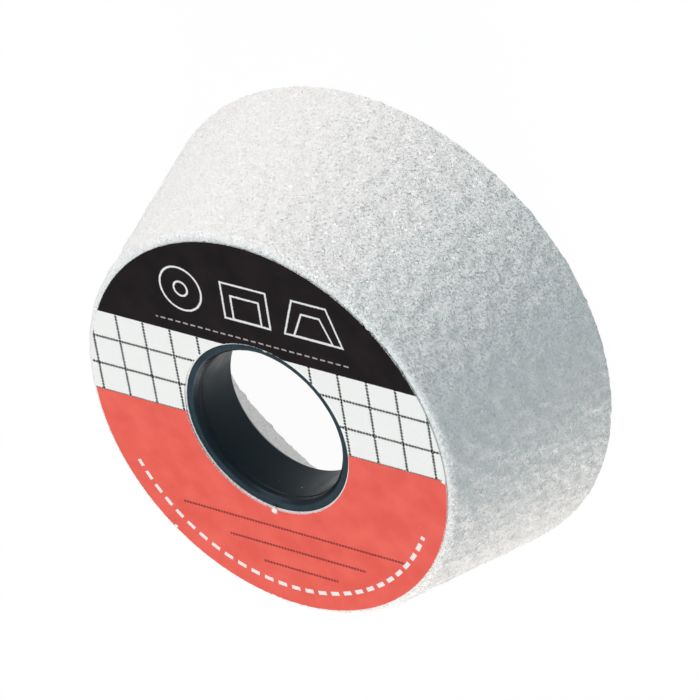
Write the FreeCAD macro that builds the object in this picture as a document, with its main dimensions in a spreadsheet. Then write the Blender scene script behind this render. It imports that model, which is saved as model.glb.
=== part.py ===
import FreeCAD, Part
import math
import os
import Sketcher

# Flaring cup grinding wheel, in millimetres. It stands on its wide rim, which lies in the plane
# z = 0, with the bore along +Z and the labelled back face on top. The origin is the rim's centre.

INCH = 25.4

SIZES = {
    "wheel_diameter": 4 * INCH,
    "wheel_height": 1.5 * INCH,
    "bore_diameter": 1.25 * INCH,
    "back_thickness": 0.5 * INCH,
    "back_diameter": 81.6,
    "back_edge_radius": 1.3,
    "rim_width": 5.7,
    "rim_edge_radius": 0.3,
    "floor_wall": 10.3,
    "floor_radius": 6.0,
    "bush_wall": 2.1,
    "bush_recess": 0.15,
    "bush_chamfer": 0.9,
    "label_margin": 0.05,
    "label_thickness": 0.3,
    "label_hole_gap": 0.25,
}

PROFILE_PLANE = "XZ_Plane"
LAYER_PLANE = "XY_Plane"
FULL_TURN = 360
SHAPE_TOLERANCE = 1e-4

doc = FreeCAD.newDocument("flaring_cup_wheel")
sheet = doc.addObject("Spreadsheet::Sheet", "sizes")


def fillSheet():
    for row, (alias, size) in enumerate(SIZES.items(), start=1):
        sheet.set(f"A{row}", alias)
        sheet.set(f"B{row}", f"{size:.4f}")
        sheet.setAlias(f"B{row}", alias)
    doc.recompute()


def cell(alias):
    return f"<<sizes>>.{alias}"


def half(alias):
    return f"{cell(alias)} / 2"


BUSH_OUTER_RULE = f"{half('bore_diameter')} + {cell('bush_wall')}"


def newBody(label):
    body = doc.addObject("PartDesign::Body", label)
    body.Label = label
    body.Placement = FreeCAD.Placement()
    return body


def originFeature(body, role):
    for feature in body.Origin.OriginFeatures:
        if feature.Role == role:
            return feature
    raise RuntimeError(f"no origin feature {role}")


def newSketch(body, name, plane):
    sketch = body.newObject("Sketcher::SketchObject", name)
    sketch.AttachmentSupport = [(originFeature(body, plane), "")]
    sketch.MapMode = "FlatFace"
    return sketch


def drawOutline(sketch, corners):
    # Each corner is (radius, height, radius expression, height expression).
    count = len(corners)
    for index, corner in enumerate(corners):
        following = corners[(index + 1) % count]
        start = FreeCAD.Vector(corner[0], corner[1], 0)
        end = FreeCAD.Vector(following[0], following[1], 0)
        sketch.addGeometry(Part.LineSegment(start, end))
    for index in range(count):
        sketch.addConstraint(Sketcher.Constraint("Coincident", index, 2, (index + 1) % count, 1))
    for index, (radius, height, radiusRule, heightRule) in enumerate(corners):
        holdCoordinate(sketch, "DistanceX", index, radius, radiusRule)
        holdCoordinate(sketch, "DistanceY", index, height, heightRule)


def holdCoordinate(sketch, kind, line, value, rule):
    number = sketch.addConstraint(Sketcher.Constraint(kind, -1, 1, line, 1, value))
    if rule:
        sketch.setExpression(f"Constraints[{number}]", rule)


def drawCircle(sketch, radius, rule):
    circle = sketch.addGeometry(Part.Circle(FreeCAD.Vector(), FreeCAD.Vector(0, 0, 1), radius))
    sketch.addConstraint(Sketcher.Constraint("Coincident", circle, 3, -1, 1))
    number = sketch.addConstraint(Sketcher.Constraint("Radius", circle, radius))
    sketch.setExpression(f"Constraints[{number}]", rule)


def turn(body, kind, name, sketch):
    feature = body.newObject(kind, name)
    feature.Profile = sketch
    feature.ReferenceAxis = (originFeature(body, "Z_Axis"), [""])
    feature.Angle = FULL_TURN
    doc.recompute()
    return feature


def edgesAt(shape, radius, height):
    # Names of the round edges that run at this radius and this height.
    names = []
    for number, edge in enumerate(shape.Edges, start=1):
        if not isinstance(edge.Curve, Part.Circle):
            continue
        sameRadius = math.isclose(edge.Curve.Radius, radius, abs_tol=SHAPE_TOLERANCE)
        sameHeight = math.isclose(edge.Curve.Center.z, height, abs_tol=SHAPE_TOLERANCE)
        if sameRadius and sameHeight:
            names.append(f"Edge{number}")
    if not names:
        raise RuntimeError(f"no round edge at radius {radius}, height {height}")
    return names


def dress(body, kind, name, base, edges, sizeName, rule):
    feature = body.newObject(kind, name)
    feature.Base = (base, edges)
    setattr(feature, sizeName, SIZES[rule])
    feature.setExpression(sizeName, cell(rule))
    doc.recompute()
    return feature


# The cup: one solid of bonded grain, a cone that widens from the back face to the rim.
def makeCup():
    body = newBody("abrasive_cup")
    rimOuter = SIZES["wheel_diameter"] / 2
    rimInner = rimOuter - SIZES["rim_width"]
    backRadius = SIZES["back_diameter"] / 2
    height = SIZES["wheel_height"]
    floorHeight = height - SIZES["back_thickness"]
    floorRadius = backRadius - SIZES["floor_wall"]
    seatRadius = SIZES["bore_diameter"] / 2 + SIZES["bush_wall"]

    cone = newSketch(body, "cone_profile", PROFILE_PLANE)
    drawOutline(cone, [
        (0, 0, None, None),
        (rimOuter, 0, half("wheel_diameter"), None),
        (backRadius, height, half("back_diameter"), cell("wheel_height")),
        (0, height, None, cell("wheel_height")),
    ])
    solid = turn(body, "PartDesign::Revolution", "cone", cone)
    fullVolume = solid.Shape.Volume

    hollow = newSketch(body, "hollow_profile", PROFILE_PLANE)
    rimInnerRule = f"{half('wheel_diameter')} - {cell('rim_width')}"
    floorRadiusRule = f"{half('back_diameter')} - {cell('floor_wall')}"
    floorHeightRule = f"{cell('wheel_height')} - {cell('back_thickness')}"
    drawOutline(hollow, [
        (0, 0, None, None),
        (rimInner, 0, rimInnerRule, None),
        (floorRadius, floorHeight, floorRadiusRule, floorHeightRule),
        (0, floorHeight, None, floorHeightRule),
    ])
    hollowed = turn(body, "PartDesign::Groove", "hollow", hollow)
    if hollowed.Shape.Volume >= fullVolume:
        raise RuntimeError("the hollow removed nothing")

    seat = newSketch(body, "seat_circle", LAYER_PLANE)
    drawCircle(seat, seatRadius, BUSH_OUTER_RULE)
    bored = body.newObject("PartDesign::Pocket", "bush_seat")
    bored.Profile = seat
    bored.Type = "ThroughAll"
    bored.Reversed = True
    doc.recompute()
    if bored.Shape.Volume >= hollowed.Shape.Volume:
        raise RuntimeError("the bush seat removed nothing")

    floorEdge = edgesAt(bored.Shape, floorRadius, floorHeight)
    rounded = dress(body, "PartDesign::Fillet", "floor_round", bored, floorEdge, "Radius", "floor_radius")
    backEdge = edgesAt(rounded.Shape, backRadius, height)
    eased = dress(body, "PartDesign::Fillet", "back_round", rounded, backEdge, "Radius", "back_edge_radius")
    rimEdges = edgesAt(eased.Shape, rimOuter, 0) + edgesAt(eased.Shape, rimInner, 0)
    dress(body, "PartDesign::Fillet", "rim_round", eased, rimEdges, "Radius", "rim_edge_radius")
    return body


# The bush: a plastic ring in the bore, a little short of both faces, with a chamfer at each mouth.
def makeBush():
    body = newBody("bore_bush")
    inner = SIZES["bore_diameter"] / 2
    outer = inner + SIZES["bush_wall"]
    top = SIZES["wheel_height"] - SIZES["bush_recess"]
    bottom = SIZES["wheel_height"] - SIZES["back_thickness"] + SIZES["bush_recess"]
    topRule = f"{cell('wheel_height')} - {cell('bush_recess')}"
    bottomRule = f"{cell('wheel_height')} - {cell('back_thickness')} + {cell('bush_recess')}"
    ring = newSketch(body, "ring_profile", PROFILE_PLANE)
    drawOutline(ring, [
        (inner, bottom, half("bore_diameter"), bottomRule),
        (outer, bottom, BUSH_OUTER_RULE, bottomRule),
        (outer, top, BUSH_OUTER_RULE, topRule),
        (inner, top, half("bore_diameter"), topRule),
    ])
    solid = turn(body, "PartDesign::Revolution", "ring", ring)
    mouths = edgesAt(solid.Shape, inner, top) + edgesAt(solid.Shape, inner, bottom)
    dress(body, "PartDesign::Chamfer", "mouth_chamfers", solid, mouths, "Size", "bush_chamfer")
    return body


# The label: a paper disc glued on the flat of the back face, with a hole that clears the bush.
def makeLabel():
    body = newBody("paper_label")
    outer = SIZES["back_diameter"] / 2 - SIZES["back_edge_radius"] - SIZES["label_margin"]
    outerRule = f"{half('back_diameter')} - {cell('back_edge_radius')} - {cell('label_margin')}"
    hole = SIZES["bore_diameter"] / 2 + SIZES["bush_wall"] + SIZES["label_hole_gap"]
    holeRule = f"{BUSH_OUTER_RULE} + {cell('label_hole_gap')}"
    disc = newSketch(body, "disc_outline", LAYER_PLANE)
    disc.setExpression(".AttachmentOffset.Base.z", cell("wheel_height"))
    drawCircle(disc, outer, outerRule)
    drawCircle(disc, hole, holeRule)
    sheetOfPaper = body.newObject("PartDesign::Pad", "disc")
    sheetOfPaper.Profile = disc
    sheetOfPaper.Length = SIZES["label_thickness"]
    sheetOfPaper.setExpression("Length", cell("label_thickness"))
    doc.recompute()
    return body


def checkDocument():
    doc.recompute()
    for item in doc.Objects:
        faults = [state for state in item.State if state in ("Invalid", "Error")]
        if faults:
            raise RuntimeError(f"{item.Name} did not build: {faults}")


def writeStep(body):
    shape = body.Shape
    if shape.isNull() or not shape.isValid() or len(shape.Solids) != 1:
        raise RuntimeError(f"{body.Label} is not one valid solid")
    shape.exportStep(os.path.join("parts", f"{body.Label}.step"))
    box = shape.optimalBoundingBox(False, False)
    print(f"{body.Label}: volume {shape.Volume:.0f} mm3, "
          f"x {box.XMin:.2f} to {box.XMax:.2f}, z {box.ZMin:.2f} to {box.ZMax:.2f}")


fillSheet()
pieces = [makeCup(), makeBush(), makeLabel()]
checkDocument()
os.makedirs("parts", exist_ok=True)
for piece in pieces:
    writeStep(piece)
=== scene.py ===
import bpy
from math import atan2, cos, degrees, hypot, pi, radians, sin, tan
from mathutils import Matrix, Vector


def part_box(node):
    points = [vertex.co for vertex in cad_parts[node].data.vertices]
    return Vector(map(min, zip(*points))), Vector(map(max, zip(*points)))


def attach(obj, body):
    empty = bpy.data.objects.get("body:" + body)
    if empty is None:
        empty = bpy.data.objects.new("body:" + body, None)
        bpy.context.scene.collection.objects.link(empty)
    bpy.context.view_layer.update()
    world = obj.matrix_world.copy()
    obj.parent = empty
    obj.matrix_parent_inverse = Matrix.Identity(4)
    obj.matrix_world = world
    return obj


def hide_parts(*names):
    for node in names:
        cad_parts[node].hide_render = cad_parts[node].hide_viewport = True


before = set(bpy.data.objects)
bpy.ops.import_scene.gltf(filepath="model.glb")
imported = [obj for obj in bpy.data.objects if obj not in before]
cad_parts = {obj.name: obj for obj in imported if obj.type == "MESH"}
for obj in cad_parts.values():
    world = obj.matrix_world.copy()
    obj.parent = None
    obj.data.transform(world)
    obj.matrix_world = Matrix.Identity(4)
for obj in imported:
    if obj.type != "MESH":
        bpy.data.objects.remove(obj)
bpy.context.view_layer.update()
mm = 0.001


# Shared helpers for modelling

def selectNothing():
    bpy.ops.object.select_all(action="DESELECT")


def activate(piece):
    selectNothing()
    piece.select_set(True)
    bpy.context.view_layer.objects.active = piece


def drawProfile(name, points):
    # A chain of edges in the XZ plane, drawn by extruding one vertex from point to point.
    selectNothing()
    bpy.ops.mesh.primitive_plane_add(size=mm, location=(0, 0, 0))
    piece = bpy.context.object
    piece.name = name
    bpy.ops.object.mode_set(mode="EDIT")
    bpy.ops.mesh.merge(type="CENTER")
    bpy.ops.transform.translate(value=(points[0][0], 0, points[0][1]))
    for before, after in zip(points, points[1:]):
        step = (after[0] - before[0], 0, after[1] - before[1])
        bpy.ops.mesh.extrude_region_move(TRANSFORM_OT_translate={"value": step})
    bpy.ops.object.mode_set(mode="OBJECT")
    return piece


def spinProfile(piece, steps, weld):
    # Turns the chain once round Z, closes the seam and points the faces outwards.
    activate(piece)
    bpy.ops.object.mode_set(mode="EDIT")
    bpy.ops.mesh.select_all(action="SELECT")
    bpy.ops.mesh.spin(steps=steps, angle=2 * pi, center=(0, 0, 0), axis=(0, 0, 1))
    bpy.ops.mesh.select_all(action="SELECT")
    bpy.ops.mesh.remove_doubles(threshold=weld)
    bpy.ops.mesh.normals_make_consistent(inside=False)
    bpy.ops.object.mode_set(mode="OBJECT")


def straightRun(start, end, count):
    # Points after start up to end, evenly spaced.
    return [(start[0] + (end[0] - start[0]) * k / count, start[1] + (end[1] - start[1]) * k / count)
            for k in range(1, count + 1)]


def roundCorner(before, corner, after, radius, count):
    # Points of the arc that rounds a corner of the profile.
    toBefore = Vector((before[0] - corner[0], before[1] - corner[1])).normalized()
    toAfter = Vector((after[0] - corner[0], after[1] - corner[1])).normalized()
    halfAngle = toBefore.angle(toAfter) / 2
    middle = Vector(corner) + (toBefore + toAfter).normalized() * (radius / sin(halfAngle))
    first = Vector(corner) + toBefore * (radius / tan(halfAngle)) - middle
    last = Vector(corner) + toAfter * (radius / tan(halfAngle)) - middle
    turn = atan2(first.x * last.y - first.y * last.x, first.dot(last))
    arc = []
    for k in range(count + 1):
        share = turn * k / count
        arc.append((middle.x + first.x * cos(share) - first.y * sin(share),
                    middle.y + first.x * sin(share) + first.y * cos(share)))
    return arc


def weightVertices(piece, groupName, weigh):
    group = piece.vertex_groups.new(name=groupName)
    for vertex in piece.data.vertices:
        weight = weigh(vertex.co)
        if weight > 0:
            group.add([vertex.index], weight, "REPLACE")


inwardsOnly = 1  # a middle level that lets a texture push only into the surface


def displace(piece, name, size, depth, middle, group):
    # Pushes the surface by a cloud texture and applies the result.
    texture = bpy.data.textures.new(name, "CLOUDS")
    texture.noise_scale = size
    modifier = piece.modifiers.new(name, "DISPLACE")
    modifier.texture = texture
    modifier.texture_coords = "LOCAL"
    modifier.direction = "NORMAL"
    modifier.strength = depth
    modifier.mid_level = middle
    modifier.vertex_group = group
    activate(piece)
    bpy.ops.object.modifier_apply(modifier=name)


def finishPiece(piece, node, material, smoothAngle):
    activate(piece)
    bpy.ops.object.shade_smooth_by_angle(angle=radians(smoothAngle))
    piece.data.materials.clear()
    piece.data.materials.append(material)
    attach(piece, "root")
    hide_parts(node)


# Shared helpers for materials

def newMaterial(name):
    material = bpy.data.materials.new(name)
    material.use_nodes = True
    tree = material.node_tree
    return material, tree, tree.nodes["Principled BSDF"]


def plug(tree, socket, value):
    if isinstance(value, bpy.types.NodeSocket):
        tree.links.new(value, socket)
    else:
        socket.default_value = value


def calc(tree, operation, first, second=0.0):
    node = tree.nodes.new("ShaderNodeMath")
    node.operation = operation
    for socket, value in zip(node.inputs, (first, second)):
        plug(tree, socket, value)
    return node.outputs[0]


def addVectors(tree, first, second):
    node = tree.nodes.new("ShaderNodeVectorMath")
    plug(tree, node.inputs[0], first)
    plug(tree, node.inputs[1], second)
    return node.outputs["Vector"]


def scaleVector(tree, vector, factor):
    node = tree.nodes.new("ShaderNodeVectorMath")
    node.operation = "SCALE"
    plug(tree, node.inputs[0], vector)
    node.inputs["Scale"].default_value = factor
    return node.outputs["Vector"]


def mapValue(tree, value, fromLow, fromHigh, toLow, toHigh, smooth=False):
    node = tree.nodes.new("ShaderNodeMapRange")
    node.interpolation_type = "SMOOTHSTEP" if smooth else "LINEAR"
    plug(tree, node.inputs["Value"], value)
    plug(tree, node.inputs["From Min"], fromLow)
    plug(tree, node.inputs["From Max"], fromHigh)
    plug(tree, node.inputs["To Min"], toLow)
    plug(tree, node.inputs["To Max"], toHigh)
    return node.outputs["Result"]


def mixColour(tree, share, first, second):
    node = tree.nodes.new("ShaderNodeMix")
    node.data_type = "RGBA"
    plug(tree, node.inputs["Factor"], share)
    plug(tree, node.inputs["A"], first if isinstance(first, bpy.types.NodeSocket) else (*first, 1))
    plug(tree, node.inputs["B"], second if isinstance(second, bpy.types.NodeSocket) else (*second, 1))
    return node.outputs["Result"]


def millimetres(tree):
    # Object coordinates, counted in millimetres.
    coordinates = tree.nodes.new("ShaderNodeTexCoord")
    return scaleVector(tree, coordinates.outputs["Object"], 1 / mm)


def noise(tree, place, size, detail=2.0, roughness=0.5):
    # Noise from 0 to 1 whose lumps are about size millimetres across.
    node = tree.nodes.new("ShaderNodeTexNoise")
    plug(tree, node.inputs["Vector"], place)
    node.inputs["Scale"].default_value = 1 / size
    node.inputs["Detail"].default_value = detail
    node.inputs["Roughness"].default_value = roughness
    return node.outputs["Fac"]


def cells(tree, place, size):
    # Grains about size millimetres across: distance from the grain's middle, and a random colour.
    node = tree.nodes.new("ShaderNodeTexVoronoi")
    plug(tree, node.inputs["Vector"], place)
    node.inputs["Scale"].default_value = 1 / size
    return node.outputs


def bump(tree, height, depth, strength=1.0, under=None):
    node = tree.nodes.new("ShaderNodeBump")
    node.inputs["Strength"].default_value = strength
    node.inputs["Distance"].default_value = depth
    plug(tree, node.inputs["Height"], height)
    if under is not None:
        plug(tree, node.inputs["Normal"], under)
    return node.outputs["Normal"]


# Abrasive cup: fired white grain, open and rough

# The chips along the mouth take about 0.4 mm off rimWidth, so 5.8 mm of it shows.
cup = {
    "rimRadius": 50.8 * mm,
    "rimWidth": 6.2 * mm,
    "rimRound": 0.3 * mm,
    "backRadius": 40.8 * mm,
    "backRound": 1.3 * mm,
    "backThickness": 12.7 * mm,
    "floorWall": 10.3 * mm,
    "floorRound": 6.0 * mm,
    "spinSteps": 600,
    "backRings": 6,
    "coneRings": 82,
    "rimRings": 10,
    "hollowRings": 36,
    "floorRings": 9,
    "seatRings": 4,
    "backRoundRings": 4,
    "rimRoundRings": 2,
    "floorRoundRings": 9,
    "weld": 0.02 * mm,
    "smoothAngle": 60,
    "grainSize": 0.9 * mm,
    "grainDepth": 0.13 * mm,
    "lumpSize": 2.6 * mm,
    "lumpDepth": 0.8 * mm,
    "rimDepth": 0.25 * mm,
    "outsideLevel": 0.72,
    "hollowLevel": 0.5,
    "near": 0.1 * mm,
    "hollowFrom": 0.6 * mm,
    "rimFade": 0.8 * mm,
    "backFade": 1.5 * mm,
    "chipSize": 1.3 * mm,
    "chipDepth": 0.45 * mm,
    "chipReach": 1.1 * mm,
    "mouthSize": 1.7 * mm,
    "mouthDepth": 1.0 * mm,
    "mouthLevel": 0.75,
    "mouthReach": 1.4 * mm,
}


def cupProfile():
    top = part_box("abrasive_cup")[1][2]
    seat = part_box("bore_bush")[1][0]
    floorHeight = top - cup["backThickness"]
    floorRadius = cup["backRadius"] - cup["floorWall"]
    rimInner = cup["rimRadius"] - cup["rimWidth"]
    seatTop, seatFloor = (seat, top), (seat, floorHeight)
    back, rimOut, rimIn = (cup["backRadius"], top), (cup["rimRadius"], 0), (rimInner, 0)
    floor = (floorRadius, floorHeight)
    points = [seatTop]
    backArc = roundCorner(seatTop, back, rimOut, cup["backRound"], cup["backRoundRings"])
    outArc = roundCorner(back, rimOut, rimIn, cup["rimRound"], cup["rimRoundRings"])
    inArc = roundCorner(rimOut, rimIn, floor, cup["rimRound"], cup["rimRoundRings"])
    floorArc = roundCorner(rimIn, floor, seatFloor, cup["floorRound"], cup["floorRoundRings"])
    points += straightRun(points[-1], backArc[0], cup["backRings"]) + backArc[1:]
    points += straightRun(points[-1], outArc[0], cup["coneRings"]) + outArc[1:]
    points += straightRun(points[-1], inArc[0], cup["rimRings"]) + inArc[1:]
    points += straightRun(points[-1], floorArc[0], cup["hollowRings"]) + floorArc[1:]
    points += straightRun(points[-1], seatFloor, cup["floorRings"])
    points += straightRun(points[-1], seatTop, cup["seatRings"])
    return points, top


def makeCup(material):
    points, top = cupProfile()
    piece = drawProfile("cup", points)
    spinProfile(piece, cup["spinSteps"], cup["weld"])
    edges = ((cup["rimRadius"], 0), (cup["backRadius"], top))
    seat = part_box("bore_bush")[1][0]

    def nearEdge(place):
        around = hypot(place.x, place.y)
        gap = min(hypot(around - radius, place.z - height) for radius, height in edges)
        return max(0, 1 - gap / cup["chipReach"])

    def inHollow(place):
        # the hollow's wall leans, so its radius at this height is compared
        floorHeight = top - cup["backThickness"]
        floorRadius, rimInner = cup["backRadius"] - cup["floorWall"], cup["rimRadius"] - cup["rimWidth"]
        wall = rimInner + (floorRadius - rimInner) * place.z / floorHeight
        around = hypot(place.x, place.y)
        inside = seat + cup["near"] < around < wall + cup["near"]
        return inside and place.z < floorHeight + cup["near"]

    def hollowWeight(place):
        return 1 if inHollow(place) and place.z > cup["hollowFrom"] else 0

    def outsideWeight(place):
        if inHollow(place) or hypot(place.x, place.y) < seat + cup["near"]:
            return 0
        # full on the cone, none on the flat faces, which carry the label and stand on the floor
        return max(0, min(1, (top - place.z) / cup["backFade"], place.z / cup["rimFade"]))

    def rimWeight(place):
        return 1 if place.z < cup["near"] else 0

    def nearMouth(place):
        gap = hypot(hypot(place.x, place.y) - cup["rimRadius"] + cup["rimWidth"], place.z)
        return max(0, 1 - gap / cup["mouthReach"])

    weightVertices(piece, "edges", nearEdge)
    weightVertices(piece, "mouth", nearMouth)
    weightVertices(piece, "rim", rimWeight)
    weightVertices(piece, "hollow", hollowWeight)
    weightVertices(piece, "outside", outsideWeight)
    for name, size, depth in (("lumps", cup["lumpSize"], cup["lumpDepth"]),
                              ("grain", cup["grainSize"], cup["grainDepth"])):
        displace(piece, name + "Outside", size, depth, cup["outsideLevel"], "outside")
        displace(piece, name + "Hollow", size, depth, cup["hollowLevel"], "hollow")
    displace(piece, "rim", cup["grainSize"], cup["rimDepth"], inwardsOnly, "rim")
    displace(piece, "chips", cup["chipSize"], cup["chipDepth"], inwardsOnly, "edges")
    displace(piece, "mouth", cup["mouthSize"], cup["mouthDepth"], cup["mouthLevel"], "mouth")
    finishPiece(piece, "abrasive_cup", material, cup["smoothAngle"])


grainFinish = {  # sizes in millimetres
    "coarseCell": 0.31,
    "fineCell": 0.2,
    "colours": ((0.85, 0.855, 0.85), (0.93, 0.93, 0.92)),
    "blotchSize": 7,
    "blotchDetail": 3,
    "blotchRange": (0.45, 0.7),
    "blotchShare": 0.35,
    "blotchColour": (0.85, 0.87, 0.86),
    # pits are pores with a bump; their darker colour is painted shade in the pores
    "pitCell": 0.45,
    "pitRange": (0.12, 0.3),
    "pitPatches": (0.6, 0.7),
    "pitShadeShare": 0.35,
    "pitShadeColour": (0.45, 0.46, 0.45),
    "pitDepth": 0.1,
    "pitStrength": 0.8,
    "facetRange": (0.45, 0.7),
    "roughness": (0.8, 0.3),
    "specular": (0.05, 1),
    "coarseLean": 0.7,
    "fineLean": 0.5,
}


def leaning(tree, grains, amount):
    # Each grain's random colour, less a half, gives the way that its facet leans.
    return scaleVector(tree, addVectors(tree, grains["Color"], (-0.5, -0.5, -0.5)), amount)


def makeGrainMaterial():
    material, tree, shader = newMaterial("bondedGrain")
    place = millimetres(tree)
    grain = cells(tree, place, grainFinish["coarseCell"])
    fine = cells(tree, place, grainFinish["fineCell"])
    pits = cells(tree, place, grainFinish["pitCell"])
    colour = mixColour(tree, fine["Color"], *grainFinish["colours"])
    blotch = noise(tree, place, grainFinish["blotchSize"], grainFinish["blotchDetail"])
    blotchShare = mapValue(tree, blotch, *grainFinish["blotchRange"], 0, grainFinish["blotchShare"])
    colour = mixColour(tree, blotchShare, colour, grainFinish["blotchColour"])
    # painted shade: the pores' colour is darkened towards the pit colour, and the same pits drive the bump
    # below
    pit = mapValue(tree, pits["Distance"], *grainFinish["pitRange"], 1, 0, True)
    patchy = mapValue(tree, pits["Color"], *grainFinish["pitPatches"], 0, 1)
    pitted = calc(tree, "MULTIPLY", pit, patchy)
    pitShadeShare = calc(tree, "MULTIPLY", pitted, grainFinish["pitShadeShare"])
    colour = mixColour(tree, pitShadeShare, colour, grainFinish["pitShadeColour"])
    plug(tree, shader.inputs["Base Color"], colour)
    facet = mapValue(tree, grain["Color"], *grainFinish["facetRange"], 0, 1)
    plug(tree, shader.inputs["Roughness"], mapValue(tree, facet, 0, 1, *grainFinish["roughness"]))
    plug(tree, shader.inputs["Specular IOR Level"], mapValue(tree, facet, 0, 1, *grainFinish["specular"]))
    geometry = tree.nodes.new("ShaderNodeNewGeometry")
    coarseLean = leaning(tree, grain, grainFinish["coarseLean"])
    fineLean = leaning(tree, fine, grainFinish["fineLean"])
    unit = tree.nodes.new("ShaderNodeVectorMath")
    unit.operation = "NORMALIZE"
    lean = addVectors(tree, coarseLean, fineLean)
    plug(tree, unit.inputs[0], addVectors(tree, geometry.outputs["Normal"], lean))
    height = calc(tree, "SUBTRACT", 1.0, pitted)
    depth, strength = grainFinish["pitDepth"] * mm, grainFinish["pitStrength"]
    plug(tree, shader.inputs["Normal"], bump(tree, height, depth, strength, unit.outputs["Vector"]))
    return material


# Bore bush: a moulded black plastic ring

bush = {
    "boreRadius": 15.875 * mm,
    "chamfer": 0.9 * mm,
    "lowerChamfer": 1.45 * mm,
    "edgeRound": 0.06 * mm,
    "edgeRoundRings": 3,
    "spinSteps": 288,
    "weld": 0.004 * mm,
    "smoothAngle": 25,
    "stepDepth": 0.12 * mm,
    "stepLength": 1.0 * mm,
    "wearSize": 1.1 * mm,
    "wearDepth": 0.07 * mm,
    "near": 0.1 * mm,
}


def makeBush(material):
    low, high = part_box("bore_bush")
    outer, bottom, top = high[0], low[2], high[2]
    bore, cut, lowerCut = bush["boreRadius"], bush["chamfer"], bush["lowerChamfer"]
    corners = [
        (outer, bottom), (outer, top), (bore + cut, top), (bore + bush["stepDepth"], top - cut),
        (bore + bush["stepDepth"], top - cut - bush["stepLength"]),
        (bore, top - cut - bush["stepLength"] - bush["stepDepth"]),
        (bore, bottom + lowerCut), (bore + lowerCut, bottom),
    ]
    points = []
    for index, corner in enumerate(corners):
        before, after = corners[index - 1], corners[(index + 1) % len(corners)]
        points += roundCorner(before, corner, after, bush["edgeRound"], bush["edgeRoundRings"])
    piece = drawProfile("bush", points + points[:1])
    spinProfile(piece, bush["spinSteps"], bush["weld"])

    def atMouth(place):
        inside = bore + cut + bush["near"] - hypot(place.x, place.y)
        return 1 if inside > 0 and place.z > top - cut - bush["near"] else 0

    weightVertices(piece, "mouth", atMouth)
    displace(piece, "wear", bush["wearSize"], bush["wearDepth"], inwardsOnly, "mouth")
    finishPiece(piece, "bore_bush", material, bush["smoothAngle"])


plasticFinish = {  # sizes in millimetres
    "smearSize": 3.5,
    "smearDetail": 4,
    "smearRoughness": 0.6,
    "wornRange": (0.35, 0.7),
    # the top face's colours are lighter and bluish, a painted reflection on the face; the wall colours are
    # the plain black
    "wallColours": ((0.0025, 0.0035, 0.005), (0.005, 0.008, 0.011)),
    "faceSheenColours": ((0.008, 0.019, 0.027), (0.018, 0.036, 0.048)),
    "sheenFadeDepths": (0.3, 0.1),
    "dustCell": 1.3,
    "dustReach": (0.05, 0.11),
    "dustChoice": (0.74, 0.76),
    "dustColour": (0.35, 0.4, 0.42),
    "polishRange": (0.3, 0.75),
    "roughness": (0.26, 0.44),
    "specular": 0.2,
    "specularTint": (0.5, 0.82, 1.0, 1),
    "skinSize": 0.5,
    "skinDetail": 3,
    "skinDepth": 0.02,
    "skinStrength": 0.5,
}


def makePlasticMaterial():
    material, tree, shader = newMaterial("mouldedPlastic")
    place = millimetres(tree)
    detail, roughness = plasticFinish["smearDetail"], plasticFinish["smearRoughness"]
    smear = noise(tree, place, plasticFinish["smearSize"], detail, roughness)
    split = tree.nodes.new("ShaderNodeSeparateXYZ")
    tree.links.new(place, split.inputs[0])
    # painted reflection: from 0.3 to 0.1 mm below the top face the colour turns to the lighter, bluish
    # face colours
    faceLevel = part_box("bore_bush")[1][2] / mm
    sheenFrom, sheenTo = (faceLevel - depth for depth in plasticFinish["sheenFadeDepths"])
    sheenOnFace = mapValue(tree, split.outputs["Z"], sheenFrom, sheenTo, 0, 1)
    worn = mapValue(tree, smear, *plasticFinish["wornRange"], 0, 1)
    wall = mixColour(tree, worn, *plasticFinish["wallColours"])
    sheenFace = mixColour(tree, worn, *plasticFinish["faceSheenColours"])
    colour = mixColour(tree, sheenOnFace, wall, sheenFace)
    dust = cells(tree, place, plasticFinish["dustCell"])
    speck = mapValue(tree, dust["Distance"], *plasticFinish["dustReach"], 1, 0)
    few = mapValue(tree, dust["Color"], *plasticFinish["dustChoice"], 0, 1)
    colour = mixColour(tree, calc(tree, "MULTIPLY", speck, few), colour, plasticFinish["dustColour"])
    plug(tree, shader.inputs["Base Color"], colour)
    polish = mapValue(tree, smear, *plasticFinish["polishRange"], *plasticFinish["roughness"])
    plug(tree, shader.inputs["Roughness"], polish)
    shader.inputs["Specular IOR Level"].default_value = plasticFinish["specular"]
    shader.inputs["Specular Tint"].default_value = plasticFinish["specularTint"]
    skin = noise(tree, place, plasticFinish["skinSize"], plasticFinish["skinDetail"])
    skinBump = bump(tree, skin, plasticFinish["skinDepth"] * mm, plasticFinish["skinStrength"])
    plug(tree, shader.inputs["Normal"], skinBump)
    return material


# Paper label: a printed disc with a hole

label = {
    "radius": 39.45 * mm,
    "holeRadius": 18.225 * mm,
    "near": 0.1 * mm,
    "rings": 14,
    "steps": 540,
    "smoothAngle": 40,
    "tears": (  # bearing in degrees, half width, pull towards the middle, on the hole
        (47.3, 0.9 * mm, 0.55 * mm, False),
        (263, 0.6 * mm, 0.3 * mm, False),
        (178, 0.8 * mm, 0.25 * mm, False),
        (266.5, 0.8 * mm, 0.55 * mm, True),
        (81, 0.7 * mm, 0.3 * mm, True),
    ),
}


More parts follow.
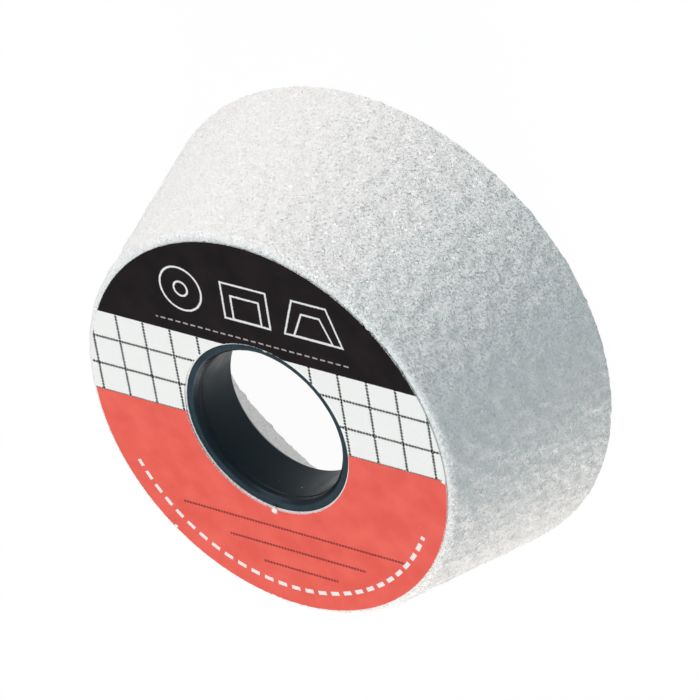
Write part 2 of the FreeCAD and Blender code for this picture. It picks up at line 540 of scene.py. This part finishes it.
def makeLabel(material):
    low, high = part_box("paper_label")
    thickness = high[2] - low[2]
    selectNothing()
    bpy.ops.mesh.primitive_circle_add(
        vertices=label["steps"], radius=label["radius"], location=(0, 0, high[2]))
    piece = bpy.context.object
    piece.name = "label"
    bpy.ops.object.transform_apply(location=True)
    bpy.ops.object.mode_set(mode="EDIT")
    bpy.ops.mesh.select_all(action="SELECT")
    size = label["radius"]
    for ring in range(1, label["rings"] + 1):
        wanted = label["radius"] + (label["holeRadius"] - label["radius"]) * ring / label["rings"]
        bpy.ops.mesh.extrude_region_move()
        bpy.ops.transform.resize(value=(wanted / size,) * 3, center_override=(0, 0, high[2]))
        size = wanted
    bpy.ops.mesh.select_all(action="SELECT")
    bpy.ops.mesh.normals_make_consistent(inside=False)
    bpy.ops.object.mode_set(mode="OBJECT")
    solid = piece.modifiers.new("thickness", "SOLIDIFY")
    solid.thickness = thickness
    solid.offset = -1
    activate(piece)
    bpy.ops.object.modifier_apply(modifier="thickness")
    tearLabel(piece)
    finishPiece(piece, "paper_label", material, label["smoothAngle"])


def tearLabel(piece):
    # Small nicks and a crumb of torn paper: each moves the outline at one bearing.
    for bearing, width, pull, onHole in label["tears"]:
        for vertex in piece.data.vertices:
            x, y = vertex.co.x, vertex.co.y
            around = hypot(x, y)
            edge = label["holeRadius"] if onHole else label["radius"]
            side = (degrees(atan2(y, x)) - bearing + 180) % 360 - 180
            along = abs(radians(side)) * edge
            if abs(around - edge) > label["near"] or along > width:
                continue
            share = 1 - along / width
            vertex.co.x -= x / around * pull * share
            vertex.co.y -= y / around * pull * share


printed = {  # the label's print, in millimetres from the bore's axis
    "darkEdge": 17.0,
    "redEdge": -0.8,
    "tilt": 0.55,
    "columnPitch": 6.25,
    "rowPitch": 6.12,
    "dotPitch": 0.66,
    "dotRadius": 0.28,
    "outlineWidth": 0.4,
    "figureHeight": 27.0,
    "figureGap": 14.5,
    "discRadius": 4.6,
    "discHole": 1.5,
    "cupHalf": (5.0, 3.8),
    "hollowHalf": (3.1, 2.5),
    "hollowDrop": 1.2,
    "cupFlare": 0.34,
    "hollowFlare": 0.45,
    "ruleHeight": 19.4,
    "ruleReach": 21.5,
    "ruleWidth": 0.3,
    "rulePitch": 1.7,
    "ruleShare": 0.65,
    "arcRadius": 35.7,
    "arcWidth": 0.85,
    "arcFrom": 206,
    "arcTo": 336,
    "dashPitch": 3.1,
    "dashShare": 0.62,
    "lineSoftness": 0.05,
    "dotSoftness": (0.06, 0.08),
    "fieldSoftness": 0.04,
    "fuzzSize": 0.28,
    "fuzzReach": 0.08,
    "fibreSize": 0.22,
    "cloudSize": 5.5,
    "paperColours": ((0.85, 0.85, 0.83), (0.92, 0.92, 0.91)),
    "gridColour": (0.012, 0.012, 0.014),
    "redColours": ((0.80, 0.118, 0.092), (0.87, 0.145, 0.115)),
    "wornSize": 0.45,
    "wornShare": 0.35,
    "wornColour": (0.9, 0.35, 0.28),
    "writeColour": (0.17, 0.03, 0.03),
    "writeShare": 0.85,
    "arcShare": 0.92,
    "darkColours": ((0.0075, 0.006, 0.007), (0.013, 0.010, 0.012)),
    "fleckSize": 0.3,
    "fleckShare": 0.22,
    "fleckColour": (0.35, 0.27, 0.25),
    "outlineColour": (0.80, 0.80, 0.79),
    "ruleColour": (0.6, 0.57, 0.55),
    "ruleInk": 0.7,
    "edgeFray": 1.6,
    "edgeWear": 0.07,
    "edgeShare": 0.7,
    "scuffFray": 3,
    "inkRoughness": (0.85, 0.62),
    "specular": 0.04,
    "fibreDepth": 0.03,
    "fibreStrength": 0.5,
    "scuffs": ((-1.2, -18.6, 0.6), (39.0, -0.5, 0.45), (-25.9, -29.3, 0.35)),
    "writeRows": ((-22.3, 2.5, 25.5), (-26.9, 2.5, 15.5), (-31.2, 2.5, 8.5)),
}


def inkLine(tree, distance, width, fuzz):
    # 1 where the distance is under half the width, with a soft and slightly ragged edge.
    ragged = calc(tree, "ADD", calc(tree, "ABSOLUTE", distance), fuzz)
    soft = printed["lineSoftness"]
    return mapValue(tree, ragged, width / 2 - soft, width / 2 + soft, 1, 0)


def distanceFromMiddle(tree, x, y):
    squares = calc(tree, "ADD", calc(tree, "MULTIPLY", x, x), calc(tree, "MULTIPLY", y, y))
    return calc(tree, "SQRT", squares)


def dots(tree, along, across, pitch, size, fuzz):
    # A row of round dots along a line.
    step = calc(tree, "SUBTRACT", calc(tree, "FRACT", calc(tree, "DIVIDE", along, pitch)), 0.5)
    reach = calc(tree, "MULTIPLY", step, pitch)
    distance = calc(tree, "ADD", distanceFromMiddle(tree, reach, across), fuzz)
    inside, outside = printed["dotSoftness"]
    return mapValue(tree, distance, size - inside, size + outside, 1, 0)


def nearest(tree, value, pitch):
    # Signed distance from the nearest multiple of the pitch.
    share = calc(tree, "ADD", calc(tree, "DIVIDE", value, pitch), 0.5)
    return calc(tree, "MULTIPLY", calc(tree, "SUBTRACT", calc(tree, "FRACT", share), 0.5), pitch)


def circleDistance(tree, x, y, radius):
    return calc(tree, "SUBTRACT", distanceFromMiddle(tree, x, y), radius)


def taperDistance(tree, x, y, halfWidth, halfHeight, flare):
    # Distance from the outline of a block whose sides lean out downwards by flare.
    reach = calc(tree, "SUBTRACT", halfWidth, calc(tree, "MULTIPLY", y, flare))
    side = calc(tree, "SUBTRACT", calc(tree, "ABSOLUTE", x), reach)
    level = calc(tree, "SUBTRACT", calc(tree, "ABSOLUTE", y), halfHeight)
    return calc(tree, "MAXIMUM", side, level)


def figures(tree, x, y, fuzz):
    # White outlines on the dark field: a disc, a straight cup and a flaring cup, each with its hollow.
    level = calc(tree, "SUBTRACT", y, printed["figureHeight"])
    low = calc(tree, "ADD", level, printed["hollowDrop"])
    left = calc(tree, "ADD", x, printed["figureGap"])
    right = calc(tree, "SUBTRACT", x, printed["figureGap"])
    outlines = (
        circleDistance(tree, left, level, printed["discRadius"]),
        circleDistance(tree, left, level, printed["discHole"]),
        taperDistance(tree, x, level, *printed["cupHalf"], 0),
        taperDistance(tree, x, low, *printed["hollowHalf"], 0),
        taperDistance(tree, right, level, *printed["cupHalf"], printed["cupFlare"]),
        taperDistance(tree, right, low, *printed["hollowHalf"], printed["hollowFlare"]),
    )
    ink = 0.0
    for outline in outlines:
        ink = calc(tree, "MAXIMUM", ink, inkLine(tree, outline, printed["outlineWidth"], fuzz))
    return ink


def within(tree, value, reach):
    return calc(tree, "LESS_THAN", calc(tree, "ABSOLUTE", value), reach)


def makeLabelMaterial():
    material, tree, shader = newMaterial("printedPaper")
    place = millimetres(tree)
    split = tree.nodes.new("ShaderNodeSeparateXYZ")
    tree.links.new(place, split.inputs[0])
    x, y = split.outputs["X"], split.outputs["Y"]
    slope = tan(radians(printed["tilt"]))
    tiltedY = calc(tree, "SUBTRACT", y, calc(tree, "MULTIPLY", x, slope))
    tiltedX = calc(tree, "ADD", x, calc(tree, "MULTIPLY", y, slope))
    ripple = noise(tree, place, printed["fuzzSize"], 3, 0.7)
    fuzz = mapValue(tree, ripple, 0.3, 0.7, -printed["fuzzReach"], printed["fuzzReach"])
    fibre = noise(tree, place, printed["fibreSize"], 4, 0.65)
    cloud = noise(tree, place, printed["cloudSize"], 3)

    # paper
    paper = mixColour(tree, mapValue(tree, fibre, 0.3, 0.7, 0, 1), *printed["paperColours"])

    # grid of dotted lines on the white band
    rowsY = calc(tree, "SUBTRACT", tiltedY, printed["redEdge"])
    dotPitch, dotRadius = printed["dotPitch"], printed["dotRadius"]
    column = dots(tree, tiltedY, nearest(tree, tiltedX, printed["columnPitch"]), dotPitch, dotRadius, fuzz)
    row = dots(tree, tiltedX, nearest(tree, rowsY, printed["rowPitch"]), dotPitch, dotRadius, fuzz)
    grid = calc(tree, "MAXIMUM", column, row)
    white = mixColour(tree, grid, paper, printed["gridColour"])

    # red field with dark dotted rules and a broken white arc
    shade = mapValue(tree, cloud, 0.35, 0.65, 0, 1)
    red = mixColour(tree, shade, *printed["redColours"])
    rubbed = noise(tree, place, printed["wornSize"], 3, 0.7)
    worn = mapValue(tree, rubbed, 0.66, 0.74, 0, printed["wornShare"])
    red = mixColour(tree, worn, red, printed["wornColour"])
    rules = 0.0
    for height, middle, reach in printed["writeRows"]:
        across = calc(tree, "SUBTRACT", tiltedY, height)
        line = dots(tree, tiltedX, across, dotPitch, dotRadius, fuzz)
        line = calc(tree, "MULTIPLY", line, within(tree, calc(tree, "SUBTRACT", tiltedX, middle), reach))
        rules = calc(tree, "MAXIMUM", rules, line)
    rules = calc(tree, "MULTIPLY", rules, printed["writeShare"])
    red = mixColour(tree, rules, red, printed["writeColour"])
    around = circleDistance(tree, x, y, 0)
    turn = radians((printed["arcTo"] - printed["arcFrom"]) / 2)
    middleTurn = radians((printed["arcTo"] + printed["arcFrom"]) / 2 - 270)
    arc = inkLine(tree, calc(tree, "SUBTRACT", around, printed["arcRadius"]), printed["arcWidth"], fuzz)
    opposite = calc(tree, "ARCTAN2", x, calc(tree, "MULTIPLY", y, -1))
    arc = calc(tree, "MULTIPLY", arc, within(tree, calc(tree, "SUBTRACT", opposite, middleTurn), turn))
    dashesPerTurn = printed["arcRadius"] / printed["dashPitch"]
    dash = calc(tree, "FRACT", calc(tree, "MULTIPLY", opposite, dashesPerTurn))
    arc = calc(tree, "MULTIPLY", arc, calc(tree, "LESS_THAN", dash, printed["dashShare"]))
    red = mixColour(tree, calc(tree, "MULTIPLY", arc, printed["arcShare"]), red, paper)

    # dark field with white outlines and a broken rule
    dark = mixColour(tree, shade, *printed["darkColours"])
    flecks = noise(tree, place, printed["fleckSize"], 2, 0.6)
    fleck = mapValue(tree, flecks, 0.73, 0.77, 0, printed["fleckShare"])
    dark = mixColour(tree, fleck, dark, printed["fleckColour"])
    ink = figures(tree, x, y, fuzz)
    ruleLine = inkLine(tree, calc(tree, "SUBTRACT", y, printed["ruleHeight"]), printed["ruleWidth"], fuzz)
    ruleStep = calc(tree, "FRACT", calc(tree, "DIVIDE", x, printed["rulePitch"]))
    ruleLine = calc(tree, "MULTIPLY", ruleLine, calc(tree, "LESS_THAN", ruleStep, printed["ruleShare"]))
    ruleLine = calc(tree, "MULTIPLY", ruleLine, within(tree, x, printed["ruleReach"]))
    dark = mixColour(tree, ink, dark, printed["outlineColour"])
    ruleLine = calc(tree, "MULTIPLY", ruleLine, printed["ruleInk"])
    dark = mixColour(tree, ruleLine, dark, printed["ruleColour"])

    # fields, then the bare paper along the cut edges
    ragged = calc(tree, "MULTIPLY", fuzz, 0.7)
    soft = printed["fieldSoftness"]
    inRed = mapValue(tree, calc(tree, "ADD", rowsY, ragged), -soft, soft, 1, 0)
    darkEdge = printed["darkEdge"]
    inDark = mapValue(tree, calc(tree, "ADD", y, ragged), darkEdge - soft, darkEdge + soft, 0, 1)
    colour = mixColour(tree, inRed, white, red)
    colour = mixColour(tree, inDark, colour, dark)
    outerGap = calc(tree, "SUBTRACT", label["radius"] / mm, around)
    holeGap = calc(tree, "SUBTRACT", around, label["holeRadius"] / mm)
    fray = calc(tree, "MULTIPLY", fuzz, printed["edgeFray"])
    edgeGap = calc(tree, "ADD", calc(tree, "MINIMUM", outerGap, holeGap), fray)
    bare = mapValue(tree, edgeGap, 0.0, printed["edgeWear"], printed["edgeShare"], 0)
    scuffFray = calc(tree, "MULTIPLY", fuzz, printed["scuffFray"])
    for middleX, middleY, size in printed["scuffs"]:
        offX, offY = calc(tree, "SUBTRACT", x, middleX), calc(tree, "SUBTRACT", y, middleY)
        reach = calc(tree, "ADD", circleDistance(tree, offX, offY, size), scuffFray)
        bare = calc(tree, "MAXIMUM", bare, mapValue(tree, reach, -0.05, 0.05, 1, 0))
    colour = mixColour(tree, bare, colour, paper)
    plug(tree, shader.inputs["Base Color"], colour)
    inked = calc(tree, "SUBTRACT", 1.0, bare)
    plug(tree, shader.inputs["Roughness"], mapValue(tree, inked, 0, 1, *printed["inkRoughness"]))
    shader.inputs["Specular IOR Level"].default_value = printed["specular"]
    fibreBump = bump(tree, fibre, printed["fibreDepth"] * mm, printed["fibreStrength"])
    plug(tree, shader.inputs["Normal"], fibreBump)
    return material


# Floor, background, lamps and camera

stage = {
    "floorSize": 6.0,
    "floorColour": (0.65, 0.65, 0.65, 1),
    "cameraGlow": 0.95,
    "bounceGlow": 0.85,
    "bounceStrength": 0.66,
    "skyColour": (0.085, 0.18, 0.215, 1),
    "seenSky": (0.965, 0.968, 0.968),
    "lampDistance": 0.9,
    "lampSize": 0.72,
}

lamps = {  # bearing from +X and height above the floor in degrees, power in watts
    "sideLamp": {"bearing": 110, "height": 20, "power": 5.7, "colour": (1.0, 0.88, 0.84)},
    "lowLamp": {"bearing": 273, "height": 27, "power": 6.9, "colour": (1.0, 0.84, 0.76)},
    "topLamp": {"bearing": 0, "height": 89, "power": 3.1, "colour": (1.0, 1.0, 1.0)},
}

camera = {
    "place": (433.68 * mm, 442.36 * mm, 544.73 * mm),
    "aim": (9.31 * mm, 10.01 * mm, 22.25 * mm),
    "roll": -132.38,
    "lens": 225.47,
    "sensor": 36.0,
}


def seenRay(tree):
    path = tree.nodes.new("ShaderNodeLightPath")
    seen = calc(tree, "MAXIMUM", path.outputs["Is Camera Ray"], path.outputs["Is Glossy Ray"])
    return calc(tree, "MAXIMUM", seen, path.outputs["Is Transmission Ray"])


def makeFloor():
    selectNothing()
    bpy.ops.mesh.primitive_plane_add(size=stage["floorSize"], location=(0, 0, 0))
    floor = bpy.context.object
    floor.name = "floor"
    material = bpy.data.materials.new("paleFloor")
    material.use_nodes = True
    tree = material.node_tree
    tree.nodes.clear()
    lit, shown, glow, bounce = (tree.nodes.new(kind) for kind in
                                ("ShaderNodeBsdfDiffuse", "ShaderNodeBsdfDiffuse",
                                 "ShaderNodeEmission", "ShaderNodeEmission"))
    lit.inputs["Color"].default_value = stage["floorColour"]
    shown.inputs["Color"].default_value = (1, 1, 1, 1)
    bounce.inputs["Strength"].default_value = stage["bounceStrength"]
    pale, soft, choice = (tree.nodes.new("ShaderNodeMixShader") for _ in range(3))
    soft.inputs[0].default_value = stage["bounceGlow"]
    tree.links.new(lit.outputs[0], soft.inputs[1])
    tree.links.new(bounce.outputs[0], soft.inputs[2])
    pale.inputs[0].default_value = stage["cameraGlow"]
    tree.links.new(shown.outputs[0], pale.inputs[1])
    tree.links.new(glow.outputs[0], pale.inputs[2])
    tree.links.new(seenRay(tree), choice.inputs[0])
    tree.links.new(soft.outputs[0], choice.inputs[1])
    tree.links.new(pale.outputs[0], choice.inputs[2])
    output = tree.nodes.new("ShaderNodeOutputMaterial")
    tree.links.new(choice.outputs[0], output.inputs["Surface"])
    floor.data.materials.append(material)


def makeWorld():
    world = bpy.data.worlds.new("studio")
    world.use_nodes = True
    tree = world.node_tree
    background = tree.nodes["Background"]
    colour = mixColour(tree, seenRay(tree), stage["skyColour"][:3], stage["seenSky"])
    plug(tree, background.inputs["Color"], colour)
    bpy.context.scene.world = world


def makeLamps():
    for name, lamp in lamps.items():
        bearing, height = radians(lamp["bearing"]), radians(lamp["height"])
        towards = Vector((cos(bearing) * cos(height), sin(bearing) * cos(height), sin(height)))
        data = bpy.data.lights.new(name, "AREA")
        data.shape = "DISK"
        data.size = stage["lampSize"]
        data.energy = lamp["power"]
        data.color = lamp["colour"]
        light = bpy.data.objects.new(name, data)
        light.location = towards * stage["lampDistance"]
        light.rotation_euler = towards.to_track_quat("Z", "Y").to_euler()
        light.visible_camera = False
        bpy.context.collection.objects.link(light)


def makeCamera():
    data = bpy.data.cameras.new("camera")
    data.lens = camera["lens"]
    data.sensor_width = camera["sensor"]
    view = bpy.data.objects.new("camera", data)
    place = Vector(camera["place"])
    look = Vector(camera["aim"]) - place
    turned = look.to_track_quat("-Z", "Y").to_matrix() @ Matrix.Rotation(radians(camera["roll"]), 3, "Z")
    view.matrix_world = Matrix.Translation(place) @ turned.to_4x4()
    bpy.context.collection.objects.link(view)
    bpy.context.scene.camera = view


print("modelling the abrasive cup")
makeCup(makeGrainMaterial())
print("modelling the bush")
makeBush(makePlasticMaterial())
print("modelling the label")
makeLabel(makeLabelMaterial())
print("setting the stage")
makeFloor()
makeWorld()
makeLamps()
makeCamera()
bpy.context.scene.view_settings.view_transform = "Standard"
